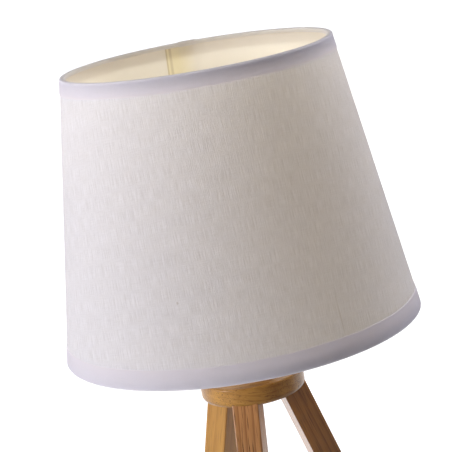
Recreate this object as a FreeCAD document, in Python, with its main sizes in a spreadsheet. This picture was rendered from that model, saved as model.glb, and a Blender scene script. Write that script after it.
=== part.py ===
import FreeCAD, Part
import math
import os
import Sketcher
from FreeCAD import Placement, Rotation, Vector

# A tripod table lamp, in millimetres.  Z is the lamp's axis and the floor is at zero.  Three square
# legs are let into the underside of a turned wooden hub.  A threaded tube through the hub holds an
# E27 lampholder, whose two threaded rings clamp the fitter of a tapered fabric shade.

document = FreeCAD.newDocument("tripod_table_lamp")

# ---------------------------------------------------------------------------------------------
# Driving sizes: one cell each in the sheet.
# ---------------------------------------------------------------------------------------------
driving_sizes = {
    # Hub: a turned disc with a soft lower edge.
    "hub_underside_height": 183.0,
    "hub_radius": 37.6,
    "hub_thickness": 14.5,
    "hub_lower_round": 4.5,
    "hub_upper_round": 1.2,
    "nut_recess_radius": 11.5,
    "nut_recess_depth": 6.5,
    # Legs: square stock at an even rake.
    "leg_splay_angle": 17.0,
    "leg_facing_angle": -90.0,
    "leg_depth": 18.8,
    "leg_width": 18.5,
    "leg_arris": 0.8,
    "leg_offset_at_hub": 27.1,
    "mortise_depth": 7.0,
    "mortise_clearance": 0.1,
    "pad_radius": 7.0,
    "pad_thickness": 2.0,
    # Countersunk wood screws along the legs' own axes.
    "screw_shank_radius": 2.0,
    "screw_head_radius": 3.8,
    "screw_length": 32.0,
    "screw_point_length": 4.0,
    "screw_head_cover": 2.2,
    "screw_clearance": 0.1,
    # Threaded tube, its washer and nut, and the bush for the supply lead.
    "tube_radius": 5.0,
    "tube_bore_radius": 3.9,
    "tube_clearance": 0.15,
    "tube_end_inset": 1.5,
    "tube_reach_in_holder": 8.0,
    "washer_radius": 10.0,
    "washer_thickness": 1.2,
    "nut_across_flats": 14.0,
    "nut_thickness": 3.0,
    "bush_bore_radius": 3.1,
    "bush_flange_radius": 6.2,
    "bush_flange_thickness": 1.2,
    "bush_sleeve_length": 9.0,
    "bush_clearance": 0.1,
    "bush_mouth_round": 0.6,
    # Lampholder: cap, threaded sleeve, insulating insert and the metal inside it.
    "cap_base_radius": 14.5,
    "cap_base_height": 3.0,
    "cap_shoulder_height": 12.0,
    "cap_radius": 20.4,
    "cap_height": 22.0,
    "cap_floor": 5.0,
    "cap_wall": 2.2,
    "cap_ledge_height": 15.0,
    "cap_ledge_width": 3.0,
    "cap_foot_round": 1.0,
    "cap_shoulder_round": 4.0,
    "cap_inner_round": 3.0,
    "sleeve_thread_radius": 19.75,
    "sleeve_collar_height": 3.0,
    "sleeve_height": 55.0,
    "sleeve_bore_radius": 16.2,
    "sleeve_lip_radius": 14.5,
    "sleeve_lip_thickness": 2.0,
    "sleeve_lip_round": 0.8,
    "sleeve_fit": 0.2,
    "insert_flange_thickness": 2.5,
    "insert_height": 12.0,
    "insert_clearance": 0.4,
    "shell_radius": 13.6,
    "shell_sheet": 0.5,
    "shell_height": 20.0,
    "shell_hole_radius": 8.5,
    "shell_corner_round": 1.2,
    "contact_width": 5.0,
    "contact_sheet": 0.5,
    "contact_rivet_reach": 7.2,
    "contact_flat_length": 3.6,
    "contact_crest_reach": 1.8,
    "contact_crest_rise": 2.2,
    "contact_free_reach": 4.8,
    "contact_free_rise": 1.3,
    "terminal_width": 8.0,
    "terminal_depth": 6.0,
    "terminal_height": 7.5,
    "terminal_spacing": 17.0,
    "terminal_screw_radius": 1.5,
    "terminal_screw_inset": 1.0,
    "terminal_head_radius": 2.4,
    "terminal_head_thickness": 1.6,
    # Shade rings: one under and one over the fitter.
    "ring_radius": 28.5,
    "ring_flange_thickness": 3.0,
    "ring_hub_radius": 23.2,
    "ring_height": 9.0,
    "ring_thread_clearance": 0.3,
    "ring_edge_round": 0.6,
    "ring_grip_radius": 1.7,
    "ring_grip_depth": 0.9,
    "ring_grip_count": 18,
    "seat_height": 38.5,
    "running_gap": 0.3,
    # Fitter: a centre plate and three wire arms, welded to the plate and to the lower rim wire.
    "fitter_plate_radius": 31.0,
    "fitter_plate_hole_radius": 20.8,
    "fitter_plate_thickness": 1.5,
    "fitter_rise": 5.5,
    "fitter_arm_radius": 1.0,
    "fitter_arm_bend": 12.0,
    "fitter_arm_angle": 30.0,
    # Shade: fabric bonded to a liner, a wire at each rim and a hem tape turned over each wire.
    "shade_bottom_radius": 127.5,
    "shade_top_radius": 95.0,
    "shade_height": 200.0,
    "fabric_thickness": 0.6,
    "liner_thickness": 0.3,
    "liner_lap_width": 20.0,
    "liner_lap_angle": 109.0,
    "bond_line": 0.1,
    "rim_wire_radius": 1.1,
    "rim_wire_clearance": 0.15,
    "tape_thickness": 0.35,
    "tape_corner_round": 1.2,
    "top_hem_height": 10.5,
    "bottom_hem_height": 13.8,
    # Lamp bulb, with an E27 cap.
    "bulb_tip_radius": 4.6,
    "bulb_tip_height": 1.5,
    "bulb_tip_round": 0.8,
    "bulb_insulator_height": 4.0,
    "bulb_insulator_foot_radius": 5.6,
    "bulb_insulator_radius": 11.4,
    "bulb_cap_radius": 13.25,
    "bulb_cap_length": 20.0,
    "bulb_cap_foot_radius": 11.8,
    "bulb_cap_foot_round": 0.5,
    "bulb_cap_foot_height": 3.0,
    "bulb_collar_height": 34.0,
    "bulb_collar_radius": 29.0,
    "bulb_collar_band_height": 6.0,
    "bulb_collar_shoulder_round": 14.0,
    "bulb_collar_foot_radius": 14.2,
    "bulb_collar_foot_height": 5.0,
    "bulb_collar_foot_round": 6.0,
    "bulb_globe_radius": 30.0,
    "bulb_globe_wall": 1.6,
    "bulb_globe_rise": 18.0,
    "led_board_radius": 22.0,
    "led_board_thickness": 1.6,
}

sheet = document.addObject("Spreadsheet::Sheet", "sizes")
for row, (alias, number) in enumerate(driving_sizes.items(), start=1):
    sheet.set(f"A{row}", alias)
    sheet.set(f"B{row}", str(number))
    sheet.setAlias(f"B{row}", alias)
document.recompute()


# ---------------------------------------------------------------------------------------------
# Numbers that remember the sheet formula they come from.
# ---------------------------------------------------------------------------------------------
class Size:
    """A number and the sheet formula that gives it, so that sums of sizes stay parametric."""

    def __init__(self, value, formula):
        self.value = float(value)
        self.formula = formula

    def joined(self, other, sign, value):
        return Size(value, f"({self.formula} {sign} {other.formula})")

    def __add__(self, other):
        other = as_size(other)
        return self.joined(other, "+", self.value + other.value)

    def __sub__(self, other):
        other = as_size(other)
        return self.joined(other, "-", self.value - other.value)

    def __mul__(self, other):
        other = as_size(other)
        return self.joined(other, "*", self.value * other.value)

    def __truediv__(self, other):
        other = as_size(other)
        return self.joined(other, "/", self.value / other.value)

    def __radd__(self, other):
        return as_size(other) + self

    def __rsub__(self, other):
        return as_size(other) - self

    def __rmul__(self, other):
        return as_size(other) * self

    def __neg__(self):
        return as_size(0) - self


def as_size(number):
    return number if isinstance(number, Size) else Size(number, str(number))


def size(alias):
    return Size(sheet.get(alias), f"sizes.{alias}")


def sine(angle):
    return Size(math.sin(math.radians(angle.value)), f"sin({angle.formula})")


def cosine(angle):
    return Size(math.cos(math.radians(angle.value)), f"cos({angle.formula})")


def tangent(angle):
    return Size(math.tan(math.radians(angle.value)), f"tan({angle.formula})")


# ---------------------------------------------------------------------------------------------
# Drawing and building.
# ---------------------------------------------------------------------------------------------
def bind(item, name, amount):
    item.setExpression(name, as_size(amount).formula)


def new_body(name):
    body = document.addObject("PartDesign::Body", name)
    body.Label = name
    return body


def origin_item(body, role):
    return next(item for item in body.Origin.OriginFeatures if item.Role == role)


def new_sketch(body, name, plane):
    sketch = body.newObject("Sketcher::SketchObject", name)
    sketch.AttachmentSupport = [(origin_item(body, plane), "")]
    sketch.MapMode = "FlatFace"
    return sketch


def constrain(sketch, kind, *where):
    return sketch.addConstraint(Sketcher.Constraint(kind, *where))


def hold(sketch, kind, amount, *where):
    """A measured constraint, bound to the sheet; a zero offset is a point on the sketch's axis."""
    amount = as_size(amount)
    if amount.formula == "0":
        constrain(sketch, "PointOnObject", *where, -2 if kind == "DistanceX" else -1)
        return
    index = constrain(sketch, kind, *where, amount.value)
    name = f"{kind}_{index}"
    sketch.renameConstraint(index, name)
    sketch.setExpression(f"Constraints.{name}", amount.formula)


def place(sketch, geometry, end, corner):
    hold(sketch, "DistanceX", corner[0], geometry, end)
    hold(sketch, "DistanceY", corner[1], geometry, end)


def outline(sketch, corners):
    """A closed outline of straight lines through the corners (across, up), each with an optional
    third value, the radius of an arc that rounds it."""
    count = len(corners)
    points = [Vector(as_size(c[0]).value, as_size(c[1]).value, 0) for c in corners]
    arrive, leave, arcs = list(points), list(points), {}
    for i, corner in enumerate(corners):
        if len(corner) < 3:
            continue
        radius = as_size(corner[2]).value
        back = (points[i - 1] - points[i]).normalize()
        ahead = (points[(i + 1) % count] - points[i]).normalize()
        half = back.getAngle(ahead) / 2
        arrive[i] = points[i] + back * (radius / math.tan(half))
        leave[i] = points[i] + ahead * (radius / math.tan(half))
        centre = points[i] + (back + ahead).normalize() * (radius / math.sin(half))
        left_turn = (-back).cross(ahead).z > 0
        start, end = (arrive[i], leave[i]) if left_turn else (leave[i], arrive[i])
        first = math.atan2(start.y - centre.y, start.x - centre.x)
        last = math.atan2(end.y - centre.y, end.x - centre.x)
        circle = Part.Circle(centre, Vector(0, 0, 1), radius)
        arcs[i] = (Part.ArcOfCircle(circle, first, last), left_turn)
    lines = [sketch.addGeometry(Part.LineSegment(leave[i], arrive[(i + 1) % count]))
             for i in range(count)]
    for i, corner in enumerate(corners):
        before, after = lines[i - 1], lines[i]
        if i not in arcs:
            constrain(sketch, "Coincident", before, 2, after, 1)
            place(sketch, after, 1, corner)
            continue
        arc, left_turn = arcs[i]
        curve = sketch.addGeometry(arc)
        apex = sketch.addGeometry(Part.Point(points[i]), True)
        place(sketch, apex, 1, corner)
        constrain(sketch, "PointOnObject", apex, 1, before)
        constrain(sketch, "PointOnObject", apex, 1, after)
        start, end = (1, 2) if left_turn else (2, 1)
        constrain(sketch, "Tangent", before, 2, curve, start)
        constrain(sketch, "Tangent", curve, end, after, 1)
        hold(sketch, "Radius", corner[2], curve)


def turned(body, name, corners, kind="Revolution"):
    """Turns an outline of (radius, height) corners about the lamp's axis."""
    sketch = new_sketch(body, name + "_profile", "XZ_Plane")
    outline(sketch, corners)
    feature = body.newObject("PartDesign::" + kind, name)
    feature.Profile = sketch
    feature.ReferenceAxis = (sketch, ["V_Axis"])
    feature.Angle = 360
    return feature


def turned_piece(name, corners):
    body = new_body(name)
    turned(body, name + "_turning", corners)
    return body


def turned_about_rake(body, name, corners, kind="Revolution"):
    """Turns an outline of (along, out) corners about a leg's own axis, from the hub's top face."""
    sketch = new_sketch(body, name + "_profile", "XZ_Plane")
    axis = sketch.addGeometry(Part.LineSegment(Vector(0, 0, 0), Vector(1, 1, 0)), True)
    for end, along in ((1, 0), (2, size("screw_length"))):
        place(sketch, axis, end, on_rake(along, 0))
    outline(sketch, [on_rake(*corner) for corner in corners])
    feature = body.newObject("PartDesign::" + kind, name)
    feature.Profile = sketch
    feature.ReferenceAxis = (sketch, ["Axis0"])
    feature.Angle = 360
    return feature


def extruded(body, name, plane, corners, length, kind="Pad"):
    """Carries an outline evenly to both sides of a plane of the body."""
    sketch = new_sketch(body, name + "_outline", plane)
    outline(sketch, corners)
    feature = body.newObject("PartDesign::" + kind, name)
    feature.Profile = sketch
    feature.SideType = "Symmetric"
    bind(feature, "Length", length)
    return feature


def repeated(body, feature, count):
    """Repeats a feature evenly about the lamp's axis."""
    document.recompute()
    pattern = body.newObject("PartDesign::PolarPattern", feature.Name + "_pattern")
    pattern.Originals = [feature]
    pattern.Axis = (origin_item(body, "Z_Axis"), [""])
    pattern.Angle = 360
    bind(pattern, "Occurrences", count)
    body.Tip = pattern
    return pattern


def face_towards(item, angle):
    """Turns a piece about the lamp's axis."""
    item.Placement = Placement(Vector(0, 0, 0), Rotation(Vector(0, 0, 1), angle.value))
    bind(item, "Placement.Rotation.Angle", angle)


# ---------------------------------------------------------------------------------------------
# Hub and legs.  The hub's cuts and the legs are drawn for a leg along +X, then turned to face.
# ---------------------------------------------------------------------------------------------
LEG_NAMES = ("front", "right", "left")
LEG_COUNT = len(LEG_NAMES)
ARM_COUNT = 3

hub_underside = size("hub_underside_height")
hub_top = hub_underside + size("hub_thickness")
splay = size("leg_splay_angle")
leg_half_depth = size("leg_depth") / 2 / cosine(splay)
tube_hole_radius = size("tube_radius") + size("tube_clearance")


def leg_offset(height):
    """The distance from the lamp's axis to the middle of a leg, at a height."""
    return size("leg_offset_at_hub") + (hub_underside - height) * tangent(splay)


def leg_section(low, high, clearance=0):
    """The side view of a leg between two level cuts."""
    half = leg_half_depth + clearance
    return [(leg_offset(low) - half, low), (leg_offset(low) + half, low),
            (leg_offset(high) + half, high), (leg_offset(high) - half, high)]


def on_rake(along, out):
    """A point at a distance along a leg's axis, from the hub's top face, and out from that axis."""
    across = leg_offset(hub_top) + as_size(along) * sine(splay) + as_size(out) * cosine(splay)
    up = hub_top - as_size(along) * cosine(splay) + as_size(out) * sine(splay)
    return across, up


head_depth = size("screw_head_radius") - size("screw_shank_radius")
screw_head_top = size("screw_head_cover")
screw_end = screw_head_top + size("screw_length")
hole_radius = size("screw_shank_radius") + size("screw_clearance")
sink_radius = size("screw_head_radius") + size("screw_clearance")
mortise_floor = hub_underside + size("mortise_depth")
recess_ceiling = hub_underside + size("nut_recess_depth")

hub = new_body("hub")
turned(hub, "hub_turning", [
    (tube_hole_radius, recess_ceiling),
    (size("nut_recess_radius"), recess_ceiling),
    (size("nut_recess_radius"), hub_underside),
    (size("hub_radius"), hub_underside, size("hub_lower_round")),
    (size("hub_radius"), hub_top, size("hub_upper_round")),
    (tube_hole_radius, hub_top),
])
mortise = extruded(
    hub, "mortise", "XZ_Plane",
    leg_section(hub_underside - size("hub_lower_round"), mortise_floor, size("mortise_clearance")),
    size("leg_width") + 2 * size("mortise_clearance"), "Pocket")
repeated(hub, mortise, LEG_COUNT)
sink = turned_about_rake(hub, "screw_sink", [
    (-size("screw_head_radius"), 0),
    (-size("screw_head_radius"), sink_radius),
    (screw_head_top, sink_radius),
    (screw_head_top + head_depth, hole_radius),
    (screw_end, hole_radius),
    (screw_end, 0),
], "Groove")
repeated(hub, sink, LEG_COUNT)
face_towards(hub, size("leg_facing_angle"))

for place_in_turn, name in enumerate(LEG_NAMES):
    facing = size("leg_facing_angle") + place_in_turn * 360 / LEG_COUNT

    leg = new_body(name + "_leg")
    stock = extruded(leg, name + "_leg_stock", "XZ_Plane",
                     leg_section(size("pad_thickness"), mortise_floor), size("leg_width"))
    document.recompute()
    long_edges = [f"Edge{i}" for i, edge in enumerate(stock.Shape.Edges, start=1)
                  if edge.Length > 2 * size("leg_width").value]
    arris = leg.newObject("PartDesign::Fillet", name + "_leg_arris")
    arris.Base = (stock, long_edges)
    bind(arris, "Radius", size("leg_arris"))
    turned_about_rake(leg, name + "_pilot_hole", [
        (0, 0),
        (0, hole_radius),
        (screw_end - size("screw_point_length"), hole_radius),
        (screw_end + size("screw_clearance"), hole_radius),
        (screw_end + size("screw_clearance"), 0),
    ], "Groove")
    face_towards(leg, facing)

    pad = document.addObject("Part::Cylinder", name + "_foot_pad")
    pad.Label = name + "_foot_pad"
    foot_offset = leg_offset(size("pad_thickness"))
    bind(pad, "Radius", size("pad_radius"))
    bind(pad, "Height", size("pad_thickness"))
    bind(pad, "Placement.Base.x", foot_offset * cosine(facing))
    bind(pad, "Placement.Base.y", foot_offset * sine(facing))

leg_screws = new_body("leg_screws")
screw = turned_about_rake(leg_screws, "wood_screw", [
    (screw_head_top, 0),
    (screw_head_top, size("screw_head_radius")),
    (screw_head_top + head_depth, size("screw_shank_radius")),
    (screw_end - size("screw_point_length"), size("screw_shank_radius")),
    (screw_end, 0),
])
repeated(leg_screws, screw, LEG_COUNT)
face_towards(leg_screws, size("leg_facing_angle"))

# ---------------------------------------------------------------------------------------------
# Threaded tube through the hub, its washer and nut, and the bush where the lead comes in.
# ---------------------------------------------------------------------------------------------
tube_foot = hub_underside + size("tube_end_inset")
tube_head = hub_top + size("tube_reach_in_holder")
washer_foot = recess_ceiling - size("washer_thickness")
nut_foot = washer_foot - size("nut_thickness")
bush_radius = size("tube_bore_radius") - size("bush_clearance")
bush_foot = tube_foot - size("bush_flange_thickness")

turned_piece("threaded_tube", [
    (size("tube_bore_radius"), tube_foot),
    (size("tube_radius"), tube_foot),
    (size("tube_radius"), tube_head),
    (size("tube_bore_radius"), tube_head),
])

turned_piece("tube_washer", [
    (tube_hole_radius, washer_foot),
    (size("washer_radius"), washer_foot),
    (size("washer_radius"), recess_ceiling),
    (tube_hole_radius, recess_ceiling),
])

tube_nut = new_body("tube_nut")
NUT_SIDES = 6
half_side_angle = 180 / NUT_SIDES
nut_corner_radius = size("nut_across_flats") / 2 / cosine(as_size(half_side_angle))
nut_corner_angles = [as_size((2 * i + 1) * half_side_angle) for i in range(NUT_SIDES)]
hexagon = new_sketch(tube_nut, "nut_hexagon", "XY_Plane")
outline(hexagon, [(nut_corner_radius * cosine(angle), nut_corner_radius * sine(angle))
                  for angle in nut_corner_angles])
hexagon.AttachmentOffset = Placement(Vector(0, 0, nut_foot.value), Rotation())
bind(hexagon, "AttachmentOffset.Base.z", nut_foot)
blank = tube_nut.newObject("PartDesign::Pad", "nut_blank")
blank.Profile = hexagon
bind(blank, "Length", size("nut_thickness"))
document.recompute()
turned(tube_nut, "nut_bore", [
    (0, nut_foot),
    (tube_hole_radius, nut_foot),
    (tube_hole_radius, washer_foot),
    (0, washer_foot),
], "Groove")

turned_piece("cable_bush", [
    (size("bush_bore_radius"), bush_foot, size("bush_mouth_round")),
    (size("bush_flange_radius"), bush_foot, size("bush_mouth_round")),
    (size("bush_flange_radius"), tube_foot),
    (bush_radius, tube_foot),
    (bush_radius, tube_foot + size("bush_sleeve_length")),
    (size("bush_bore_radius"), tube_foot + size("bush_sleeve_length")),
])

# ---------------------------------------------------------------------------------------------
# Lampholder: heights are measured up from the hub's top face.
# ---------------------------------------------------------------------------------------------
cap_rim = hub_top + size("cap_height")
cap_ledge = hub_top + size("cap_ledge_height")
cap_floor = hub_top + size("cap_floor")
cap_bore = size("cap_radius") - size("cap_wall")
ledge_bore = cap_bore - size("cap_ledge_width")
insert_flange_top = cap_ledge + size("insert_flange_thickness")
insert_top = cap_ledge + size("insert_height")
sleeve_top = hub_top + size("sleeve_height")
lip_underside = sleeve_top - size("sleeve_lip_thickness")
collar_top = cap_rim + size("sleeve_collar_height")

turned_piece("lampholder_cap", [
    (tube_hole_radius, hub_top),
    (size("cap_base_radius"), hub_top),
    (size("cap_base_radius"), hub_top + size("cap_base_height"), size("cap_foot_round")),
    (size("cap_radius"), hub_top + size("cap_shoulder_height"), size("cap_shoulder_round")),
    (size("cap_radius"), cap_rim),
    (cap_bore, cap_rim),
    (cap_bore, cap_ledge),
    (ledge_bore, cap_ledge),
    (ledge_bore, cap_floor, size("cap_inner_round")),
    (tube_hole_radius, cap_floor),
])

turned_piece("lampholder_sleeve", [
    (size("sleeve_bore_radius"), insert_flange_top),
    (cap_bore - size("sleeve_fit"), insert_flange_top),
    (cap_bore - size("sleeve_fit"), cap_rim),
    (size("cap_radius"), cap_rim),
    (size("cap_radius"), collar_top),
    (size("sleeve_thread_radius"), collar_top),
    (size("sleeve_thread_radius"), sleeve_top, size("sleeve_lip_round")),
    (size("sleeve_lip_radius"), sleeve_top, size("sleeve_lip_round")),
    (size("sleeve_lip_radius"), lip_underside),
    (size("sleeve_bore_radius"), lip_underside),
])

insert_tower_radius = size("sleeve_bore_radius") - size("insert_clearance")
turned_piece("lampholder_insert", [
    (0, cap_ledge),
    (cap_bore - size("insert_clearance"), cap_ledge),
    (cap_bore - size("insert_clearance"), insert_flange_top),
    (insert_tower_radius, insert_flange_top),
    (insert_tower_radius, insert_top),
    (0, insert_top),
])

shell_outside = size("shell_radius") + size("shell_sheet")
turned_piece("screw_shell", [
    (size("shell_hole_radius"), insert_top),
    (shell_outside, insert_top, size("shell_corner_round")),
    (shell_outside, insert_top + size("shell_height")),
    (size("shell_radius"), insert_top + size("shell_height")),
    (size("shell_radius"), insert_top + size("shell_sheet"),
     size("shell_corner_round") - size("shell_sheet")),
    (size("shell_hole_radius"), insert_top + size("shell_sheet")),
])

# The tongue lies flat at its riveted end, climbs past the axis and dips again at its free end.
contact_top = insert_top + size("contact_crest_rise") + size("contact_sheet")
tongue = [(-size("contact_rivet_reach"), insert_top),
          (size("contact_flat_length") - size("contact_rivet_reach"), insert_top),
          (size("contact_crest_reach"), insert_top + size("contact_crest_rise")),
          (size("contact_free_reach"), insert_top + size("contact_free_rise"))]
centre_contact = new_body("centre_contact")
extruded(centre_contact, "contact_tongue", "XZ_Plane",
         tongue + [(across, up + size("contact_sheet")) for across, up in reversed(tongue)],
         size("contact_width"))

terminal_foot = cap_ledge - size("terminal_height")
TERMINAL_COUNT = 2
terminal_inner = size("terminal_spacing") / 2 - size("terminal_depth") / 2
terminal_outer = size("terminal_spacing") / 2 + size("terminal_depth") / 2
terminal_blocks = new_body("terminal_blocks")
block = extruded(terminal_blocks, "terminal_block", "XZ_Plane", [
    (terminal_inner, terminal_foot),
    (terminal_outer, terminal_foot),
    (terminal_outer, cap_ledge),
    (terminal_inner, cap_ledge),
], size("terminal_width"))
repeated(terminal_blocks, block, TERMINAL_COUNT)


def terminal_screw(body, name, extra, kind):
    """A small screw on the X axis, through the middle of a block's outer face."""
    middle = terminal_foot + size("terminal_height") / 2
    shank = size("terminal_screw_radius") + extra
    sketch = new_sketch(body, name + "_profile", "XZ_Plane")
    axis = sketch.addGeometry(Part.LineSegment(Vector(0, 0, 0), Vector(1, 0, 0)), True)
    place(sketch, axis, 1, (terminal_inner, middle))
    place(sketch, axis, 2, (terminal_outer, middle))
    inner_end = terminal_inner + size("terminal_screw_inset") - extra
    corners = [(inner_end, middle), (inner_end, middle + shank), (terminal_outer, middle + shank)]
    if kind == "Revolution":
        head = terminal_outer + size("terminal_head_thickness")
        corners += [(terminal_outer, middle + size("terminal_head_radius")),
                    (head, middle + size("terminal_head_radius")), (head, middle)]
    else:
        corners += [(terminal_outer, middle)]
    outline(sketch, corners)
    feature = body.newObject("PartDesign::" + kind, name)
    feature.Profile = sketch
    feature.ReferenceAxis = (sketch, ["Axis0"])
    feature.Angle = 360
    repeated(body, feature, TERMINAL_COUNT)


terminal_screw(terminal_blocks, "tapped_hole", size("screw_clearance"), "Groove")
terminal_screw(new_body("terminal_screws"), "clamping_screw", as_size(0), "Revolution")

# ---------------------------------------------------------------------------------------------
# Shade rings, which screw along the sleeve's thread and clamp the fitter between them.
# ---------------------------------------------------------------------------------------------
seat = hub_top + size("seat_height")
plate_foot = seat + size("running_gap")
plate_top = plate_foot + size("fitter_plate_thickness")
ring_bore = size("sleeve_thread_radius") + size("ring_thread_clearance")


def shade_ring(name, flange_face, direction):
    """A flanged ring; the flange lies against the fitter and the hub of the ring points away."""
    flange_back = flange_face + direction * size("ring_flange_thickness")
    far_end = flange_face + direction * size("ring_height")
    ring = new_body(name)
    turned(ring, name + "_turning", [
        (ring_bore, flange_face),
        (size("ring_radius"), flange_face, size("ring_edge_round")),
        (size("ring_radius"), flange_back, size("ring_edge_round")),
        (size("ring_hub_radius"), flange_back, size("ring_edge_round")),
        (size("ring_hub_radius"), far_end, size("ring_edge_round")),
        (ring_bore, far_end),
    ])
    scallop = new_sketch(ring, name + "_scallop", "XY_Plane")
    circle = Part.Circle(Vector(0, 0, 0), Vector(0, 0, 1), size("ring_grip_radius").value)
    edge = scallop.addGeometry(circle)
    centre = size("ring_radius") + size("ring_grip_radius") - size("ring_grip_depth")
    place(scallop, edge, 3, (centre, 0))
    hold(scallop, "Radius", size("ring_grip_radius"), edge)
    grip = ring.newObject("PartDesign::Pocket", name + "_grip")
    grip.Profile = scallop
    grip.Type = "ThroughAll"
    grip.SideType = "Symmetric"
    repeated(ring, grip, size("ring_grip_count"))
    return ring


shade_ring("lower_shade_ring", seat, -1)
shade_ring("upper_shade_ring", plate_top + size("running_gap"), 1)

# ---------------------------------------------------------------------------------------------
# Shade.  The wall is a straight cone; the outside of the fabric is its reference.
# ---------------------------------------------------------------------------------------------
rim_stack = size("rim_wire_radius") + size("rim_wire_clearance") + size("tape_thickness")
roll_height = 2 * rim_stack
lower_wire_height = (plate_foot + plate_top) / 2 - size("fitter_rise")
shade_foot = lower_wire_height - rim_stack
shade_head = shade_foot + size("shade_height")
upper_wire_height = shade_head - rim_stack
taper = (size("shade_bottom_radius") - size("shade_top_radius")) / size("shade_height")


def fabric_radius(height):
    return size("shade_bottom_radius") - (height - shade_foot) * taper


def wall(low, high, outside, inside):
    """A band of the cone between two heights, at two depths under the fabric's outer face."""
    return [(fabric_radius(low) - outside, low), (fabric_radius(high) - outside, high),
            (fabric_radius(high) - inside, high), (fabric_radius(low) - inside, low)]


liner_outside = size("fabric_thickness") + size("bond_line")
liner_inside = liner_outside + size("liner_thickness")
wire_depth = liner_inside + size("rim_wire_clearance") + size("rim_wire_radius")
sheet_low = shade_foot + size("tape_corner_round")
sheet_high = shade_head - size("tape_corner_round")

turned_piece("shade_fabric",
             wall(sheet_low, sheet_high, as_size(0), size("fabric_thickness")))

shade_liner = new_body("shade_liner")
turned(shade_liner, "liner_sheet", wall(sheet_low, sheet_high, liner_outside, liner_inside))
lap_low = shade_foot + roll_height + size("rim_wire_clearance")
lap_high = shade_head - roll_height - size("rim_wire_clearance")
lap_sketch = new_sketch(shade_liner, "liner_lap_profile", "XZ_Plane")
outline(lap_sketch, wall(lap_low, lap_high, liner_inside - size("liner_thickness") / 2,
                         liner_inside + size("liner_thickness")))
lap = shade_liner.newObject("PartDesign::Revolution", "liner_lap")
lap.Profile = lap_sketch
lap.ReferenceAxis = (lap_sketch, ["V_Axis"])
lap.Midplane = True
bind(lap, "Angle", size("liner_lap_width") / size("shade_top_radius") * 180 / math.pi)
face_towards(shade_liner, size("liner_lap_angle"))


def rim_wire(name, height):
    wire = document.addObject("Part::Torus", name)
    wire.Label = name
    bind(wire, "Radius1", fabric_radius(height) - wire_depth)
    bind(wire, "Radius2", size("rim_wire_radius"))
    bind(wire, "Placement.Base.z", height)


rim_wire("upper_rim_wire", upper_wire_height)
rim_wire("lower_rim_wire", lower_wire_height)


def hem_tape(name, rim, inwards, hem):
    """A tape laid over the fabric, rolled round the rim wire and tucked under it.  Inwards is +1
    where the hem runs up from the rim and -1 where it runs down."""
    thickness = size("tape_thickness")
    over = size("bond_line")
    outer_round = size("tape_corner_round")
    inner_round = size("tape_corner_round") - thickness
    hem_end = rim + inwards * hem
    roll_end = rim + inwards * roll_height
    wire_height = rim + inwards * rim_stack
    wire_side = fabric_radius(wire_height) - wire_depth - rim_stack + thickness
    tucked = fabric_radius(roll_end) - liner_inside - size("rim_wire_clearance")
    return turned_piece(name, [
        (fabric_radius(hem_end) + over + thickness, hem_end),
        (fabric_radius(rim) + over + thickness, rim, outer_round),
        (wire_side - thickness, rim, outer_round),
        (wire_side - thickness, roll_end, outer_round),
        (tucked, roll_end),
        (tucked, roll_end - inwards * thickness),
        (wire_side, roll_end - inwards * thickness, inner_round),
        (wire_side, rim + inwards * thickness, inner_round),
        (fabric_radius(rim) + over, rim + inwards * thickness, inner_round),
        (fabric_radius(hem_end) + over, hem_end),
    ])


hem_tape("top_hem_tape", shade_head, -1, size("top_hem_height"))
bottom_tape = hem_tape("bottom_hem_tape", shade_foot, 1, size("bottom_hem_height"))

# The roll of the bottom tape is snipped where each fitter arm passes through it.
lower_wire_ring = fabric_radius(lower_wire_height) - wire_depth
snip = extruded(bottom_tape, "arm_snip", "XZ_Plane", [
    (lower_wire_ring - roll_height, shade_foot + size("tape_thickness")),
    (lower_wire_ring + rim_stack, shade_foot + size("tape_thickness")),
    (lower_wire_ring + rim_stack, shade_foot + 2 * roll_height),
    (lower_wire_ring - roll_height, shade_foot + 2 * roll_height),
], 2 * (size("fitter_arm_radius") + size("running_gap")), "Pocket")
repeated(bottom_tape, snip, ARM_COUNT)
face_towards(bottom_tape, size("fitter_arm_angle"))

# The fitter's centre plate.  The bent wire arms are butted against its edge, and their far ends
# are coped to the rim wire.
turned_piece("shade_fitter", [
    (size("fitter_plate_hole_radius"), plate_foot),
    (size("fitter_plate_radius"), plate_foot),
    (size("fitter_plate_radius"), plate_top),
    (size("fitter_plate_hole_radius"), plate_top),
])

fitter_arms = new_body("fitter_arms")
plate_middle = (plate_foot + plate_top) / 2
arm_start = size("fitter_plate_radius")
arm_drop_start = arm_start + size("fitter_arm_bend")
arm_drop_end = lower_wire_ring - size("fitter_arm_bend")
path = new_sketch(fitter_arms, "arm_path", "XZ_Plane")
route = [(arm_start, plate_middle), (arm_drop_start, plate_middle),
         (arm_drop_end, lower_wire_height), (lower_wire_ring, lower_wire_height)]
runs = [path.addGeometry(Part.LineSegment(
    Vector(a[0].value, a[1].value, 0), Vector(b[0].value, b[1].value, 0)))
    for a, b in zip(route, route[1:])]
for before, after in zip(runs, runs[1:]):
    constrain(path, "Coincident", before, 2, after, 1)
for run, corner in zip(runs, route):
    place(path, run, 1, corner)
place(path, runs[-1], 2, route[-1])
arm_end = new_sketch(fitter_arms, "arm_section", "YZ_Plane")
arm_end.AttachmentOffset = Placement(Vector(0, 0, arm_start.value), Rotation())
bind(arm_end, "AttachmentOffset.Base.z", arm_start)
ring_edge = arm_end.addGeometry(
    Part.Circle(Vector(0, plate_middle.value, 0), Vector(0, 0, 1), size("fitter_arm_radius").value))
place(arm_end, ring_edge, 3, (0, plate_middle))
hold(arm_end, "Radius", size("fitter_arm_radius"), ring_edge)
arm = fitter_arms.newObject("PartDesign::AdditivePipe", "fitter_arm")
arm.Profile = arm_end
arm.Spine = path
arm.Transition = "Right corner"
repeated(fitter_arms, arm, ARM_COUNT)
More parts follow.
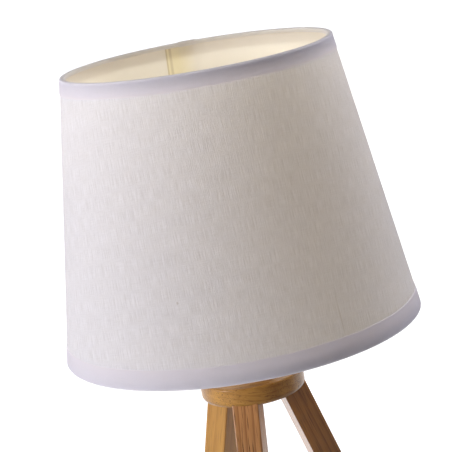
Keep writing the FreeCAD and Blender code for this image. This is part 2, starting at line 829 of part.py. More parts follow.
cope_section = new_sketch(fitter_arms, "cope_section", "XZ_Plane")
cope_edge = cope_section.addGeometry(
    Part.Circle(Vector(lower_wire_ring.value, lower_wire_height.value, 0), Vector(0, 0, 1),
                size("rim_wire_radius").value))
place(cope_section, cope_edge, 3, (lower_wire_ring, lower_wire_height))
hold(cope_section, "Radius", size("rim_wire_radius"), cope_edge)
cope = fitter_arms.newObject("PartDesign::Groove", "arm_cope")
cope.Profile = cope_section
cope.ReferenceAxis = (cope_section, ["V_Axis"])
cope.Angle = 360
face_towards(fitter_arms, size("fitter_arm_angle"))

# ---------------------------------------------------------------------------------------------
# Bulb, screwed home: its tip stands a running gap above the contact tongue.
# ---------------------------------------------------------------------------------------------
tip_foot = contact_top + size("running_gap")
insulator_foot = tip_foot + size("bulb_tip_height")
bulb_cap_foot = insulator_foot + size("bulb_insulator_height")
bulb_cap_top = bulb_cap_foot + size("bulb_cap_length")
collar_head = bulb_cap_top + size("bulb_collar_height")
globe_middle = collar_head + size("bulb_globe_rise")

turned_piece("bulb_tip", [
    (0, tip_foot),
    (size("bulb_tip_radius"), tip_foot, size("bulb_tip_round")),
    (size("bulb_tip_radius"), insulator_foot),
    (0, insulator_foot),
])

turned_piece("bulb_insulator", [
    (0, insulator_foot),
    (size("bulb_insulator_foot_radius"), insulator_foot),
    (size("bulb_insulator_radius"), bulb_cap_foot),
    (0, bulb_cap_foot),
])

turned_piece("bulb_cap", [
    (0, bulb_cap_foot),
    (size("bulb_cap_foot_radius"), bulb_cap_foot, size("bulb_cap_foot_round")),
    (size("bulb_cap_radius"), bulb_cap_foot + size("bulb_cap_foot_height")),
    (size("bulb_cap_radius"), bulb_cap_top),
    (0, bulb_cap_top),
])

turned_piece("bulb_collar", [
    (0, bulb_cap_top),
    (size("bulb_collar_foot_radius"), bulb_cap_top),
    (size("bulb_collar_foot_radius"), bulb_cap_top + size("bulb_collar_foot_height"),
     size("bulb_collar_foot_round")),
    (size("bulb_collar_radius"), collar_head - size("bulb_collar_band_height"),
     size("bulb_collar_shoulder_round")),
    (size("bulb_collar_radius"), collar_head),
    (0, collar_head),
])

turned_piece("led_board", [
    (0, collar_head),
    (size("led_board_radius"), collar_head),
    (size("led_board_radius"), collar_head + size("led_board_thickness")),
    (0, collar_head + size("led_board_thickness")),
])


def dome(body, name, radius, kind="Revolution"):
    """A hemisphere on a short cylinder, turned about the lamp's axis."""
    sketch = new_sketch(body, name + "_profile", "XZ_Plane")
    corners = [(as_size(0), collar_head), (radius, collar_head), (radius, globe_middle),
               (as_size(0), globe_middle + radius)]
    foot, edge, shoulder, crown = (Vector(across.value, up.value, 0) for across, up in corners)
    centre = Vector(0, shoulder.y, 0)
    floor, side, axis, arc = (sketch.addGeometry(curve) for curve in (
        Part.LineSegment(foot, edge),
        Part.LineSegment(edge, shoulder),
        Part.LineSegment(crown, foot),
        Part.ArcOfCircle(Part.Circle(centre, Vector(0, 0, 1), edge.x), 0, math.pi / 2)))
    for before, after in ((floor, side), (side, arc), (arc, axis), (axis, floor)):
        constrain(sketch, "Coincident", before, 2, after, 1)
    for curve, corner in zip((floor, side, arc, axis), corners):
        place(sketch, curve, 1, corner)
    constrain(sketch, "PointOnObject", arc, 3, -2)
    feature = body.newObject("PartDesign::" + kind, name)
    feature.Profile = sketch
    feature.ReferenceAxis = (sketch, ["V_Axis"])
    feature.Angle = 360


bulb_globe = new_body("bulb_globe")
dome(bulb_globe, "globe_outside", size("bulb_globe_radius"))
dome(bulb_globe, "globe_inside", size("bulb_globe_radius") - size("bulb_globe_wall"), "Groove")

# ---------------------------------------------------------------------------------------------
# Check every object, then write one file for each sub-part.
# ---------------------------------------------------------------------------------------------
document.recompute()
for item in document.Objects:
    if "Invalid" in item.State or "Error" in item.State:
        raise RuntimeError(f"{item.Name} failed: {item.State}")

pieces = [item for item in document.Objects
          if item.TypeId in ("PartDesign::Body", "Part::Cylinder", "Part::Torus")]
for piece in pieces:
    if piece.Shape.isNull() or not piece.Shape.isValid() or not piece.Shape.Solids:
        raise RuntimeError(f"{piece.Label} has no valid solid")

os.makedirs("parts", exist_ok=True)
for piece in pieces:
    piece.Shape.exportStep(f"parts/{piece.Label}.step")
    print(f"{piece.Label}: {len(piece.Shape.Solids)} solid, {piece.Shape.Volume / 1000:.2f} cm3")
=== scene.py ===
import math

import bmesh
import bpy
import numpy as np
from mathutils import Euler, Matrix, Quaternion, Vector


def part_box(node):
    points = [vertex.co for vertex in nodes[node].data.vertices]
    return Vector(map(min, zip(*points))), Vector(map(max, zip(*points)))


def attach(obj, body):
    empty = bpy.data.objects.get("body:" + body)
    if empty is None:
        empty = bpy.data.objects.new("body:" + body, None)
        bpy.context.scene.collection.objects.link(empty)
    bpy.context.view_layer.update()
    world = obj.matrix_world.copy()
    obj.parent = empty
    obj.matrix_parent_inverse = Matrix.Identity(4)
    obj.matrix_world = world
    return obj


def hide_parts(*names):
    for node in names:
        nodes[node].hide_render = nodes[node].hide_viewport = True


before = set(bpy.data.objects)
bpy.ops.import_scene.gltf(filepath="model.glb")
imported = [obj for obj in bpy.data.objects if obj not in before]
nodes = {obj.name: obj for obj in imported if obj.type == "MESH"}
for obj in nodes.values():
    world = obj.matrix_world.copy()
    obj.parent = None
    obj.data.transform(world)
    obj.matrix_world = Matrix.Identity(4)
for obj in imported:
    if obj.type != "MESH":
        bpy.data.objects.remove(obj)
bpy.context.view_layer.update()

# -------------------------------------------------------------------------------------------------
# Camera: it stands a little to the right of the front leg, looks slightly down on the shade, and
# is turned about its own axis so that the lamp leans in the frame.
# -------------------------------------------------------------------------------------------------
frame_side = 452
focal_length_in_pixels = 1698.6
aim = Vector((0, 0, 0.32995))
aim_in_frame = (219.7, 194.0)
camera_azimuth, camera_elevation, camera_roll = (math.radians(a) for a in (12.95, 11.315, -9.916))
camera_distance = 1.19394


def bearing(azimuth, elevation):
    """The unit vector towards an azimuth, measured from -Y towards +X, and an elevation."""
    return Vector((math.sin(azimuth) * math.cos(elevation),
                   -math.cos(azimuth) * math.cos(elevation), math.sin(elevation)))


camera_data = bpy.data.cameras.new("camera")
camera_data.sensor_width = 36
camera_data.lens = focal_length_in_pixels * camera_data.sensor_width / frame_side
camera = bpy.data.objects.new("camera", camera_data)
bpy.context.scene.collection.objects.link(camera)
level_look = Euler((math.pi / 2 - camera_elevation, 0, camera_azimuth)).to_quaternion()
aim_ray = Vector(((aim_in_frame[0] - frame_side / 2) / focal_length_in_pixels,
                  (frame_side / 2 - aim_in_frame[1]) / focal_length_in_pixels, -1))
off_centre = Vector((0, 0, -1)).rotation_difference(aim_ray)
camera.rotation_mode = "QUATERNION"
roll = Quaternion((0, 0, 1), camera_roll)
camera.rotation_quaternion = level_look @ roll @ off_centre.inverted()
camera.location = aim + camera_distance * bearing(camera_azimuth, camera_elevation)
bpy.context.scene.camera = camera

# -------------------------------------------------------------------------------------------------
# Studio: a white floor without an end and a white backdrop, two soft boxes on the left for the
# bright side, one on the right for the rim, and dimmer ones behind and above, whose light comes
# through the shade.
# -------------------------------------------------------------------------------------------------


def paint(red, green, blue):
    """A colour from its three levels of 0 to 255, as linear light."""
    levels = np.array([red, green, blue]) / 255
    linear = np.where(levels <= 0.04045, levels / 12.92, ((levels + 0.055) / 1.055) ** 2.4)
    return (*linear.tolist(), 1.0)


def feed(tree, socket, value):
    """Feeds a socket from another socket, or sets it to a plain value."""
    if isinstance(value, bpy.types.NodeSocket):
        tree.links.new(value, socket)
    elif isinstance(socket.default_value, float):
        socket.default_value = value
    elif len(socket.default_value) == 4 and len(value) == 3:
        socket.default_value = (*value, 1)
    else:
        socket.default_value = value


def add_node(tree, kind, inputs=(), **settings):
    """A shader node with its settings, and its inputs by name or number."""
    node = tree.nodes.new("ShaderNode" + kind)
    for name, value in settings.items():
        setattr(node, name, value)
    for key, value in dict(inputs).items():
        feed(tree, node.inputs[key], value)
    return node


def calculate(tree, operation, *values):
    """The result of a maths node on values, in their order."""
    return add_node(tree, "Math", dict(enumerate(values)), operation=operation).outputs[0]


def blend_colours(tree, factor, first, second):
    """The first colour at a factor of zero, and the second at one."""
    return add_node(tree, "Mix", {0: factor, 6: first, 7: second}, data_type="RGBA").outputs[2]


def spread(tree, value, low, high, to_low=0.0, to_high=1.0):
    """A value carried from one range to another, and held at the ends."""
    return add_node(tree, "MapRange", {"Value": value, "From Min": low, "From Max": high,
                                       "To Min": to_low, "To Max": to_high}).outputs[0]


def noise(tree, vector, scale, detail=2.0, roughness=0.5, distortion=0.0):
    """Cloudy noise of a vector, spread about a half."""
    node = add_node(tree, "TexNoise", {"Vector": vector, "Scale": scale, "Detail": detail,
                                       "Roughness": roughness, "Distortion": distortion})
    return node.outputs[0]


def seen_white(tree, place, reach, through_share):
    """How white a ray finds the studio: one from the camera, through_share through a thin sheet,
    and zero for soft light.  A gloss finds it white only behind the lamp: place, a vector, is
    measured along the camera's look, and the white grows from none at zero to its share at
    reach."""
    gloss_share = 0.85
    path = add_node(tree, "LightPath")
    behind = add_node(tree, "VectorMath", {0: place, 1: tuple(-bearing(camera_azimuth, 0))},
                      operation="DOT_PRODUCT").outputs["Value"]
    gloss = calculate(tree, "MULTIPLY", path.outputs["Is Glossy Ray"],
                      spread(tree, behind, 0, reach, 0, gloss_share))
    through = calculate(tree, "MULTIPLY", path.outputs["Is Transmission Ray"], through_share)
    direct = calculate(tree, "MAXIMUM", path.outputs["Is Camera Ray"], through)
    return calculate(tree, "MAXIMUM", direct, gloss)


world = bpy.data.worlds.new("studio")
world.use_nodes = True
bpy.context.scene.world = world
tree = world.node_tree
tree.nodes.clear()
white = (1, 1, 1, 1)
white_strength = 1.49
sky_reach = 0.5
sky_direction = add_node(tree, "TexCoord").outputs["Generated"]
sky_strength = calculate(tree, "MULTIPLY", seen_white(tree, sky_direction, sky_reach, 1.0),
                         white_strength)
backdrop = add_node(tree, "Background", {"Color": white, "Strength": sky_strength})
world_output = add_node(tree, "OutputWorld")
feed(tree, world_output.inputs[0], backdrop.outputs[0])

floor_half_side = 30.0
floor_reach = 0.2
floor_grey = 0.80
floor_glow_share, floor_through_share = 0.88, 0.85
floor_mesh = bpy.data.meshes.new("floor")
floor_mesh.from_pydata([(x * floor_half_side, y * floor_half_side, 0)
                        for x, y in ((-1, -1), (1, -1), (1, 1), (-1, 1))], [], [(0, 1, 2, 3)])
floor = bpy.data.objects.new("floor", floor_mesh)
bpy.context.scene.collection.objects.link(floor)

floor_material = bpy.data.materials.new("studio_floor")
floor_material.use_nodes = True
tree = floor_material.node_tree
tree.nodes.clear()
floor_paint = add_node(tree, "BsdfDiffuse", {"Color": (floor_grey, floor_grey, floor_grey, 1)})
floor_glow = add_node(tree, "Emission", {"Color": white, "Strength": white_strength})
floor_place = add_node(tree, "NewGeometry").outputs["Position"]
floor_white = seen_white(tree, floor_place, floor_reach, floor_through_share)
glow_share = calculate(tree, "MULTIPLY", floor_white, floor_glow_share)
floor_mix = add_node(tree, "MixShader", {0: glow_share, 1: floor_paint.outputs[0],
                                         2: floor_glow.outputs[0]})
floor_output = add_node(tree, "OutputMaterial")
feed(tree, floor_output.inputs[0], floor_mix.outputs[0])
floor_mesh.materials.append(floor_material)

# Each soft box: azimuth from the camera's own, elevation, distance, width, height, watts, colour.
# The two straight behind the lamp show in no gloss.
for name, azimuth, elevation, distance, width, height, watts, colour in (
        ("key", -60, 4, 1.6, 0.7, 0.7, 13.6, (0.935, 0.945, 1.0)),
        ("left_fill", -85, 15, 1.6, 0.9, 1.2, 10.6, (0.84, 0.89, 1.0)),
        ("right_rim", 125, 15, 1.8, 0.8, 1.4, 16.0, (0.82, 0.87, 1.0)),
        ("back_high", 180, 20, 1.8, 1.2, 1.2, 4.3, (0.8, 0.8, 1.0)),
        ("back_low", 180, 2, 1.8, 0.8, 0.5, 9.1, (0.5, 0.73, 1.0)),
        ("left_top", -150, 45, 1.8, 0.8, 0.8, 3.0, (0.95, 0.9, 1.0)),
        ("right_top", 110, 45, 1.8, 0.8, 0.8, 3.2, (0.85, 0.88, 1.0))):
    light_data = bpy.data.lights.new(name, "AREA")
    light_data.shape = "RECTANGLE"
    light_data.size, light_data.size_y = width, height
    light_data.energy = watts
    light_data.color = colour
    light = bpy.data.objects.new(name, light_data)
    light.visible_glossy = not name.startswith("back")
    direction = bearing(camera_azimuth + math.radians(azimuth), math.radians(elevation))
    light.location = aim + distance * direction
    light.rotation_mode = "QUATERNION"
    light.rotation_quaternion = direction.to_track_quat("Z", "Y")
    bpy.context.scene.collection.objects.link(light)

bpy.context.scene.view_settings.view_transform = "Standard"

# -------------------------------------------------------------------------------------------------
# Feet: three discs of pressed wool felt, glued under the ends of the legs.
# -------------------------------------------------------------------------------------------------


def new_group(name, inputs, outputs):
    """A shader node group with named inputs (name: plain value) and float or colour outputs."""
    group = bpy.data.node_groups.new(name, "ShaderNodeTree")
    for key, value in inputs.items():
        kind = "Float" if isinstance(value, float) else "Color" if len(value) == 4 else "Vector"
        socket = group.interface.new_socket(key, in_out="INPUT", socket_type="NodeSocket" + kind)
        socket.default_value = value
    for key, kind in outputs.items():
        group.interface.new_socket(key, in_out="OUTPUT", socket_type="NodeSocket" + kind)
    return (group, group.nodes.new("NodeGroupInput").outputs,
            group.nodes.new("NodeGroupOutput").inputs)


def use_group(tree, group, inputs):
    """Places a node group with its inputs by name, and gives back its outputs."""
    node = tree.nodes.new("ShaderNodeGroup")
    node.node_tree = group
    for key, value in inputs.items():
        feed(tree, node.inputs[key], value)
    return node.outputs


def new_material(name, **sockets):
    """A material with one Principled shader, plain values on its own sockets."""
    material = bpy.data.materials.new(name)
    material.use_nodes = True
    tree = material.node_tree
    shader = tree.nodes["Principled BSDF"]
    for key, value in sockets.items():
        feed(tree, shader.inputs[key.replace("_", " ")], value)
    return material, tree, shader.inputs


def object_place(tree, location=(0, 0, 0), rotation=(0, 0, 0)):
    """Object coordinates, turned and then shifted."""
    place = add_node(tree, "TexCoord").outputs["Object"]
    return add_node(tree, "Mapping", {"Vector": place, "Location": location,
                                      "Rotation": rotation}).outputs[0]


def stretched(tree, vector, factors):
    """A vector times its own factor on each axis."""
    return add_node(tree, "VectorMath", {0: vector, 1: factors}, operation="MULTIPLY").outputs[0]


def relief(tree, shader, height, distance, strength=1.0):
    """A bump of a real depth in metres."""
    bump = add_node(tree, "Bump", {"Height": height, "Distance": distance, "Strength": strength})
    feed(tree, shader["Normal"], bump.outputs[0])


def dress(material, *names):
    """Gives CAD nodes a material."""
    for name in names:
        for material_slot in nodes[name].material_slots:
            material_slot.material = material


felt, tree, shader = new_material("pressed_felt", Roughness=0.95, Sheen_Weight=0.3)
place = object_place(tree)
fibres = noise(tree, place, 900.0, 5.0, 0.7, 1.5)
clumps = noise(tree, place, 220.0, 2.0)
feed(tree, shader["Base Color"],
     blend_colours(tree, calculate(tree, "MULTIPLY_ADD", fibres, 0.6, calculate(
         tree, "MULTIPLY", clumps, 0.4)), paint(78, 68, 60), paint(142, 128, 114)))
relief(tree, shader, fibres, 0.0006)
dress(felt, "front_foot_pad", "right_foot_pad", "left_foot_pad")

# -------------------------------------------------------------------------------------------------
# Legs: three lengths of square hardwood, planed, eased along the edges and given a satin varnish.
# Each was cut from another board, so each has its own hue and figure.
# -------------------------------------------------------------------------------------------------
leg_splay = math.radians(17)
leg_offset_at_hub = 0.0271
leg_facings = {"front_leg": -90, "right_leg": 30, "left_leg": 150}
hub_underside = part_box("hub")[0].z
up = Vector((0, 0, 1))


def leg_axes(name):
    """Unit vectors of a leg: level outward, down along the leg, and level across it."""
    facing = math.radians(leg_facings[name])
    outward = Vector((math.cos(facing), math.sin(facing), 0))
    along = outward * math.sin(leg_splay) - up * math.cos(leg_splay)
    return outward, along, up.cross(outward)


def make_wood_grain():
    """Wood whose grain runs along X.  Growth rings are cylinders about a pith line parallel to X,
    at a distance of the square root of y and z squared, bent by slow noise.  Pores and fibres are
    noise drawn out along X."""
    group, given, out = new_group("wood_grain", {
        "Vector": (0.0, 0.0, 0.0), "Pith": (0.0, 0.05, 0.03), "Ring Spacing": 0.004,
        "Wander": 0.006, "Pale": (0.5, 0.3, 0.15, 1.0), "Dark": (0.3, 0.15, 0.06, 1.0),
        "Pore": (0.1, 0.05, 0.02, 1.0), "Ring Share": 0.5, "Pore Share": 0.5, "Mottle": 0.3,
    }, {"Color": "Color", "Roughness": "Float", "Height": "Float"})
    vector = given["Vector"]
    slow = stretched(group, vector, (0.12, 1.0, 1.0))
    bend = add_node(group, "TexNoise", {"Vector": slow, "Scale": 30.0, "Detail": 3.0}).outputs[1]
    bend = add_node(group, "VectorMath", {0: bend, 1: (0.5, 0.5, 0.5)}, operation="SUBTRACT")
    bend = add_node(group, "VectorMath", {0: bend.outputs[0], "Scale": given["Wander"]},
                    operation="SCALE")
    bent = add_node(group, "VectorMath", {0: vector, 1: bend.outputs[0]}, operation="ADD")
    from_pith = add_node(group, "VectorMath", {0: bent.outputs[0], 1: given["Pith"]},
                         operation="ADD")
    flat = stretched(group, from_pith.outputs[0], (0.0, 1.0, 1.0))
    distance = add_node(group, "VectorMath", {0: flat}, operation="LENGTH").outputs["Value"]
    ring = calculate(group, "FRACT", calculate(group, "DIVIDE", distance, given["Ring Spacing"]))
    late = calculate(group, "POWER", spread(group, ring, 0.15, 0.92), 2.4)
    late = calculate(group, "MULTIPLY", late, spread(group, ring, 1.0, 0.92))
    fibre = noise(group, stretched(group, vector, (0.025, 1.0, 1.0)), 2200.0, 4.0, 0.65)
    pores = noise(group, stretched(group, vector, (0.035, 1.0, 1.0)), 1300.0, 2.0, 0.6)
    pores = spread(group, pores, 0.57, 0.67)
    pores = calculate(group, "MULTIPLY", pores, spread(group, late, 0.9, 0.1, 0.35, 1.0))
    mottle = noise(group, stretched(group, vector, (0.3, 1.0, 1.0)), 70.0, 3.0)
    tone = calculate(group, "MULTIPLY", late, given["Ring Share"])
    tone = calculate(group, "MULTIPLY_ADD", spread(group, fibre, 0.3, 0.7), 0.22, tone)
    mottle = spread(group, mottle, 0.3, 0.7)
    tone = calculate(group, "MULTIPLY_ADD", mottle, given["Mottle"], tone)
    colour = blend_colours(group, tone, given["Pale"], given["Dark"])
    pore_share = calculate(group, "MULTIPLY", pores, given["Pore Share"])
    colour = blend_colours(group, pore_share, colour, given["Pore"])
    feed(group, out["Color"], colour)
    feed(group, out["Roughness"], calculate(group, "MULTIPLY_ADD", pore_share, 0.25, spread(
        group, fibre, 0.3, 0.7, 0.30, 0.42)))
    feed(group, out["Height"], calculate(group, "SUBTRACT", spread(
        group, fibre, 0.3, 0.7, 0.0, 0.25), pore_share))
    return group


wood_grain = make_wood_grain()


def varnished_wood(name, coat, frame_rotation, frame_origin, pale, dark, pore, **figure):
    """Varnished wood; the grain follows X of a frame given by its rotation matrix and origin."""
    material, tree, shader = new_material(name, Specular_IOR_Level=0.2, Coat_Weight=coat,
                                          Coat_Roughness=0.2)
    turn = frame_rotation.transposed()
    place = object_place(tree, -(turn @ Vector(frame_origin)), turn.to_euler())
    grain = use_group(tree, wood_grain, {
        "Vector": place, "Pale": pale, "Dark": dark, "Pore": pore,
        **{key.replace("_", " "): value for key, value in figure.items()}})
    feed(tree, shader["Base Color"], grain["Color"])
    feed(tree, shader["Roughness"], grain["Roughness"])
    relief(tree, shader, grain["Height"], 0.00012)
    return material


leg_pore = paint(74, 42, 18)
for name, coat, pale, dark, figure in (
        ("front_leg", 0.5, paint(201, 144, 90), paint(134, 82, 44),
         dict(Pith=(0.0, 0.030, 0.055), Ring_Spacing=0.0023, Wander=0.007, Ring_Share=0.60,
              Pore_Share=1.0, Mottle=0.15)),
        ("right_leg", 1.0, paint(204, 136, 56), paint(146, 90, 32),
         dict(Pith=(0.13, 0.020, 0.070), Ring_Spacing=0.0052, Wander=0.010, Ring_Share=0.45,
              Pore_Share=0.4, Mottle=0.35)),
        ("left_leg", 0.5, paint(206, 154, 76), paint(168, 112, 48),
         dict(Pith=(0.31, 0.045, 0.060), Ring_Spacing=0.0058, Wander=0.008, Ring_Share=0.35,
              Pore_Share=0.3, Mottle=0.3))):
    outward, along, across = leg_axes(name)
    leg_frame = Matrix((along, across, along.cross(across))).transposed()
    leg_origin = outward * leg_offset_at_hub + up * hub_underside
    dress(varnished_wood(name + "_wood", coat, leg_frame, leg_origin, pale, dark, leg_pore,
                         **figure), name)

# -------------------------------------------------------------------------------------------------
# Hub: a disc turned from a plank of the same hardwood, its lower edge rounded over, then
# varnished.  The plank's grain runs level, so the rim shows long grain in front and end grain at
# the sides.
# -------------------------------------------------------------------------------------------------
plank_turn, plank_tilt = math.radians(14), math.radians(7)
hub_grain = Matrix.Rotation(plank_turn, 3, "Z") @ Matrix.Rotation(plank_tilt, 3, "Y")
dress(varnished_wood("hub_wood", 0.5, hub_grain, (0, 0, hub_underside), paint(208, 154, 72),
                     paint(136, 86, 30), paint(90, 54, 22), Pith=(0.0, 0.012, 0.052),
                     Ring_Spacing=0.0046, Wander=0.022, Ring_Share=0.20, Pore_Share=0.9,
                     Mottle=0.75), "hub")

# -------------------------------------------------------------------------------------------------
# Ironwork: the threaded tube, its washer and nut, and one countersunk wood screw along each leg,
# all bright zinc plated.  The screw heads have a cross recess.
# -------------------------------------------------------------------------------------------------


def plated_metal(name, colour, roughness):
    """Bright plating, with a fine grain and a slow cloud over it."""
    material, tree, shader = new_material(name, Metallic=1.0)
    place = object_place(tree)
    fine = noise(tree, place, 1500.0, 4.0, 0.6)
    cloud = noise(tree, place, 160.0, 2.0)
    feed(tree, shader["Base Color"], blend_colours(
        tree, spread(tree, cloud, 0.3, 0.7), colour, tuple(c * 0.82 for c in colour[:3]) + (1,)))
    feed(tree, shader["Roughness"], spread(tree, fine, 0.3, 0.7, roughness - 0.06,
                                           roughness + 0.1))
    relief(tree, shader, fine, 0.00003)
    return material


def add_piece(name, points, material, wrap_rows=False, wrap_columns=True, uv=None, sharp=40,
              caps=False):
    """A mesh on a grid of points (rows, columns, 3).  Each face joins four neighbours, a wrapped
    direction joins its last line to its first, and caps close the two ends of the columns."""
    rows, columns = points.shape[:2]
    numbers = np.arange(rows * columns).reshape(rows, columns)
    ends = [numbers[::-1, 0].tolist(), numbers[:, -1].tolist()] if caps else []
    if wrap_rows:
        numbers = np.vstack([numbers, numbers[:1]])
    if wrap_columns:
        numbers = np.hstack([numbers, numbers[:, :1]])
    faces = np.stack([numbers[:-1, :-1], numbers[:-1, 1:], numbers[1:, 1:], numbers[1:, :-1]],
                     axis=-1).reshape(-1, 4)
    mesh = bpy.data.meshes.new(name)
    mesh.from_pydata(points.reshape(-1, 3), [], faces.tolist() + ends)
    if uv is not None:
        corner_points = np.zeros(len(mesh.loops), int)
        mesh.loops.foreach_get("vertex_index", corner_points)
        layer = mesh.uv_layers.new(name="cut")
        layer.data.foreach_set("uv", uv.reshape(-1, 2)[corner_points].ravel())
    shape = bmesh.new()
    shape.from_mesh(mesh)
    bmesh.ops.recalc_face_normals(shape, faces=shape.faces)
    shape.to_mesh(mesh)
    shape.free()
    mesh.polygons.foreach_set("use_smooth", np.ones(len(mesh.polygons), bool))
    mesh.set_sharp_from_angle(angle=math.radians(sharp))
    mesh.materials.append(material)
    piece = bpy.data.objects.new(name, mesh)
    bpy.context.scene.collection.objects.link(piece)
    return piece


def turned(radii, heights, azimuths):
    """Points (rows, columns, 3) at radii and heights, one row each, round the lamp's axis."""
    radii, heights = (np.asarray(values, float) for values in (radii, heights))
    radii, heights = (values[:, None] if values.ndim == 1 else values
                      for values in (radii, heights))
    return np.stack(np.broadcast_arrays(radii * np.cos(azimuths), radii * np.sin(azimuths),
                                        heights), axis=-1)


def smooth_step(value, low, high):
    """Zero up to low, one from high, and an even S between them: three times the square of the
    share less twice its cube."""
    share = np.clip((np.asarray(value, float) - low) / (high - low), 0, 1)
    return share * share * (3 - 2 * share)


hub_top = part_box("hub")[1].z
zinc = plated_metal("bright_zinc", paint(205, 203, 198), 0.3)
dress(zinc, "threaded_tube", "tube_washer", "tube_nut", "terminal_screws")

full_turn = 2 * math.pi
around = np.linspace(0, full_turn, 96, endpoint=False)
closed_radius = 0.00001


def ringed(outline):
    """The radii of an outline of (radius, height), one row each and the same all round."""
    return outline[:, :1] + 0 * around


screw_head_radius, shank_radius, screw_length, head_cover = 0.0038, 0.0020, 0.032, 0.0022
countersink_height, point_length = 0.0018, 0.004
recess_reach, recess_half_width, recess_depth = 0.0023, 0.0004, 0.0015
rings = np.linspace(0, screw_head_radius, 24)[:, None]
beside_arm = np.minimum(np.abs(rings * np.sin(around)), np.abs(rings * np.cos(around)))
recess = (recess_depth * smooth_step(recess_reach - rings, 0, recess_reach)
          * (1 - smooth_step(beside_arm, recess_half_width * 0.8, recess_half_width * 1.2)))
shank = np.array([(screw_head_radius, head_cover),
                  (shank_radius, head_cover + countersink_height),
                  (shank_radius, head_cover + screw_length - point_length),
                  (closed_radius, head_cover + screw_length)])
screw_radii = np.vstack([rings + 0 * around, ringed(shank)])
screw_depths = np.vstack([head_cover + recess, shank[:, 1:] + 0 * around])
screw_reach = leg_offset_at_hub - (hub_top - hub_underside) * math.tan(leg_splay)
for number, name in enumerate(leg_facings):
    outward, along, across = leg_axes(name)
    points = (np.array(outward * screw_reach + up * hub_top)
              + screw_depths[..., None] * np.array(along)
              + (screw_radii * np.cos(around))[..., None] * np.array(across)
              + (screw_radii * np.sin(around))[..., None] * np.array(along.cross(across)))
    screw = add_piece(f"wood_screw_{number}", points, zinc, sharp=30)
    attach(screw, "base")
    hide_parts("leg_screws")

# -------------------------------------------------------------------------------------------------
# Lampholder: a white moulded cap, a sleeve with an outside thread for the two shade rings, the
# bush, a glazed insert, and a thin brass screw shell with a rolled thread.
# -------------------------------------------------------------------------------------------------


def moulded_plastic(name, colour, roughness):
    """Satin moulding: a fine spark texture and slow changes of gloss."""
    material, tree, shader = new_material(name)
    place = object_place(tree)
    spark = noise(tree, place, 2600.0, 2.0)
    slow = noise(tree, place, 60.0, 3.0)
    feed(tree, shader["Base Color"], blend_colours(
        tree, spread(tree, slow, 0.3, 0.7), colour, tuple(c * 0.94 for c in colour[:3]) + (1,)))
    feed(tree, shader["Roughness"], spread(tree, slow, 0.3, 0.7, roughness - 0.04,
                                           roughness + 0.06))
    relief(tree, shader, spark, 0.00002)
    return material


def thread_wave(heights, azimuths, pitch, low, high):
    """Zero at a right-hand thread's crest and one at its root; the thread fades out at its ends.
    The crest climbs one pitch in each turn: a cosine of height over pitch less azimuth."""
    heights = np.asarray(heights, float)[:, None]
    wave = 0.5 - 0.5 * np.cos(full_turn * heights / pitch - azimuths)
    run_out = pitch / 2
    return wave * smooth_step(heights, low, low + run_out) * (
        1 - smooth_step(heights, high - run_out, high))


white_plastic = moulded_plastic("white_plastic", paint(232, 230, 224), 0.42)
dress(white_plastic, "cable_bush", "lampholder_cap", "lower_shade_ring", "upper_shade_ring")

cap_height, collar_height, lip_height = 0.022, 0.003, 0.002
neck_radius, collar_radius, sleeve_bore, lip_bore = 0.0180, 0.0204, 0.0162, 0.0145
crest_radius, ring_thread_depth, ring_thread_pitch = 0.01975, 0.0007, 0.0025
sleeve_foot, sleeve_top = (corner.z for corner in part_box("lampholder_sleeve"))
cap_rim = hub_top + cap_height
collar_top = cap_rim + collar_height
climb = np.linspace(collar_top, sleeve_top - 0.0008, 150)
thread = crest_radius - ring_thread_depth * thread_wave(
    climb, around, ring_thread_pitch, collar_top, sleeve_top - 0.001)
neck = np.array([(sleeve_bore, sleeve_foot), (neck_radius, sleeve_foot), (neck_radius, cap_rim),
                 (collar_radius, cap_rim), (collar_radius, collar_top)])
lip = np.array([
    (crest_radius - 0.0003, sleeve_top - 0.0002), (crest_radius - 0.00075, sleeve_top),
    (lip_bore + 0.0007, sleeve_top), (lip_bore + 0.00015, sleeve_top - 0.0003),
    (lip_bore, sleeve_top - 0.0008), (lip_bore, sleeve_top - lip_height),
    (sleeve_bore, sleeve_top - lip_height)])
sleeve = add_piece("threaded_sleeve", turned(
    np.vstack([ringed(neck), thread, ringed(lip)]),
    np.concatenate([neck[:, 1], climb, lip[:, 1]]), around), white_plastic, wrap_rows=True)
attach(sleeve, "base")
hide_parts("lampholder_sleeve")

dress(moulded_plastic("glazed_insert", paint(226, 220, 206), 0.18), "lampholder_insert")
brass = plated_metal("brass", paint(205, 170, 100), 0.28)
dress(brass, "centre_contact", "terminal_blocks")

screw_lead = 0.00363
shell_radius, shell_wall, shell_thread_depth, shell_hole = 0.0141, 0.0005, 0.0003, 0.0085
shell_foot, shell_top = (corner.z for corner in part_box("screw_shell"))
climb = np.linspace(shell_foot + 0.0014, shell_top, 90)
outside = shell_radius - shell_thread_depth * thread_wave(
    climb, around, screw_lead, shell_foot + 0.002, shell_top - 0.001)
underside = np.array([
    (shell_hole, shell_foot + shell_wall), (shell_hole, shell_foot),
    (shell_radius - 0.0012, shell_foot), (shell_radius - 0.0003, shell_foot + 0.0004)])
inner_foot = np.array([(shell_radius - 0.0007, shell_foot + 0.0008),
                       (shell_radius - 0.0012, shell_foot + shell_wall)])
shell = add_piece("threaded_shell", turned(
    np.vstack([ringed(underside), outside, (outside - shell_wall)[::-1], ringed(inner_foot)]),
    np.concatenate([underside[:, 1], climb, climb[::-1], inner_foot[:, 1]]), around),
    brass, wrap_rows=True)
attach(shell, "base")
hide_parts("screw_shell")

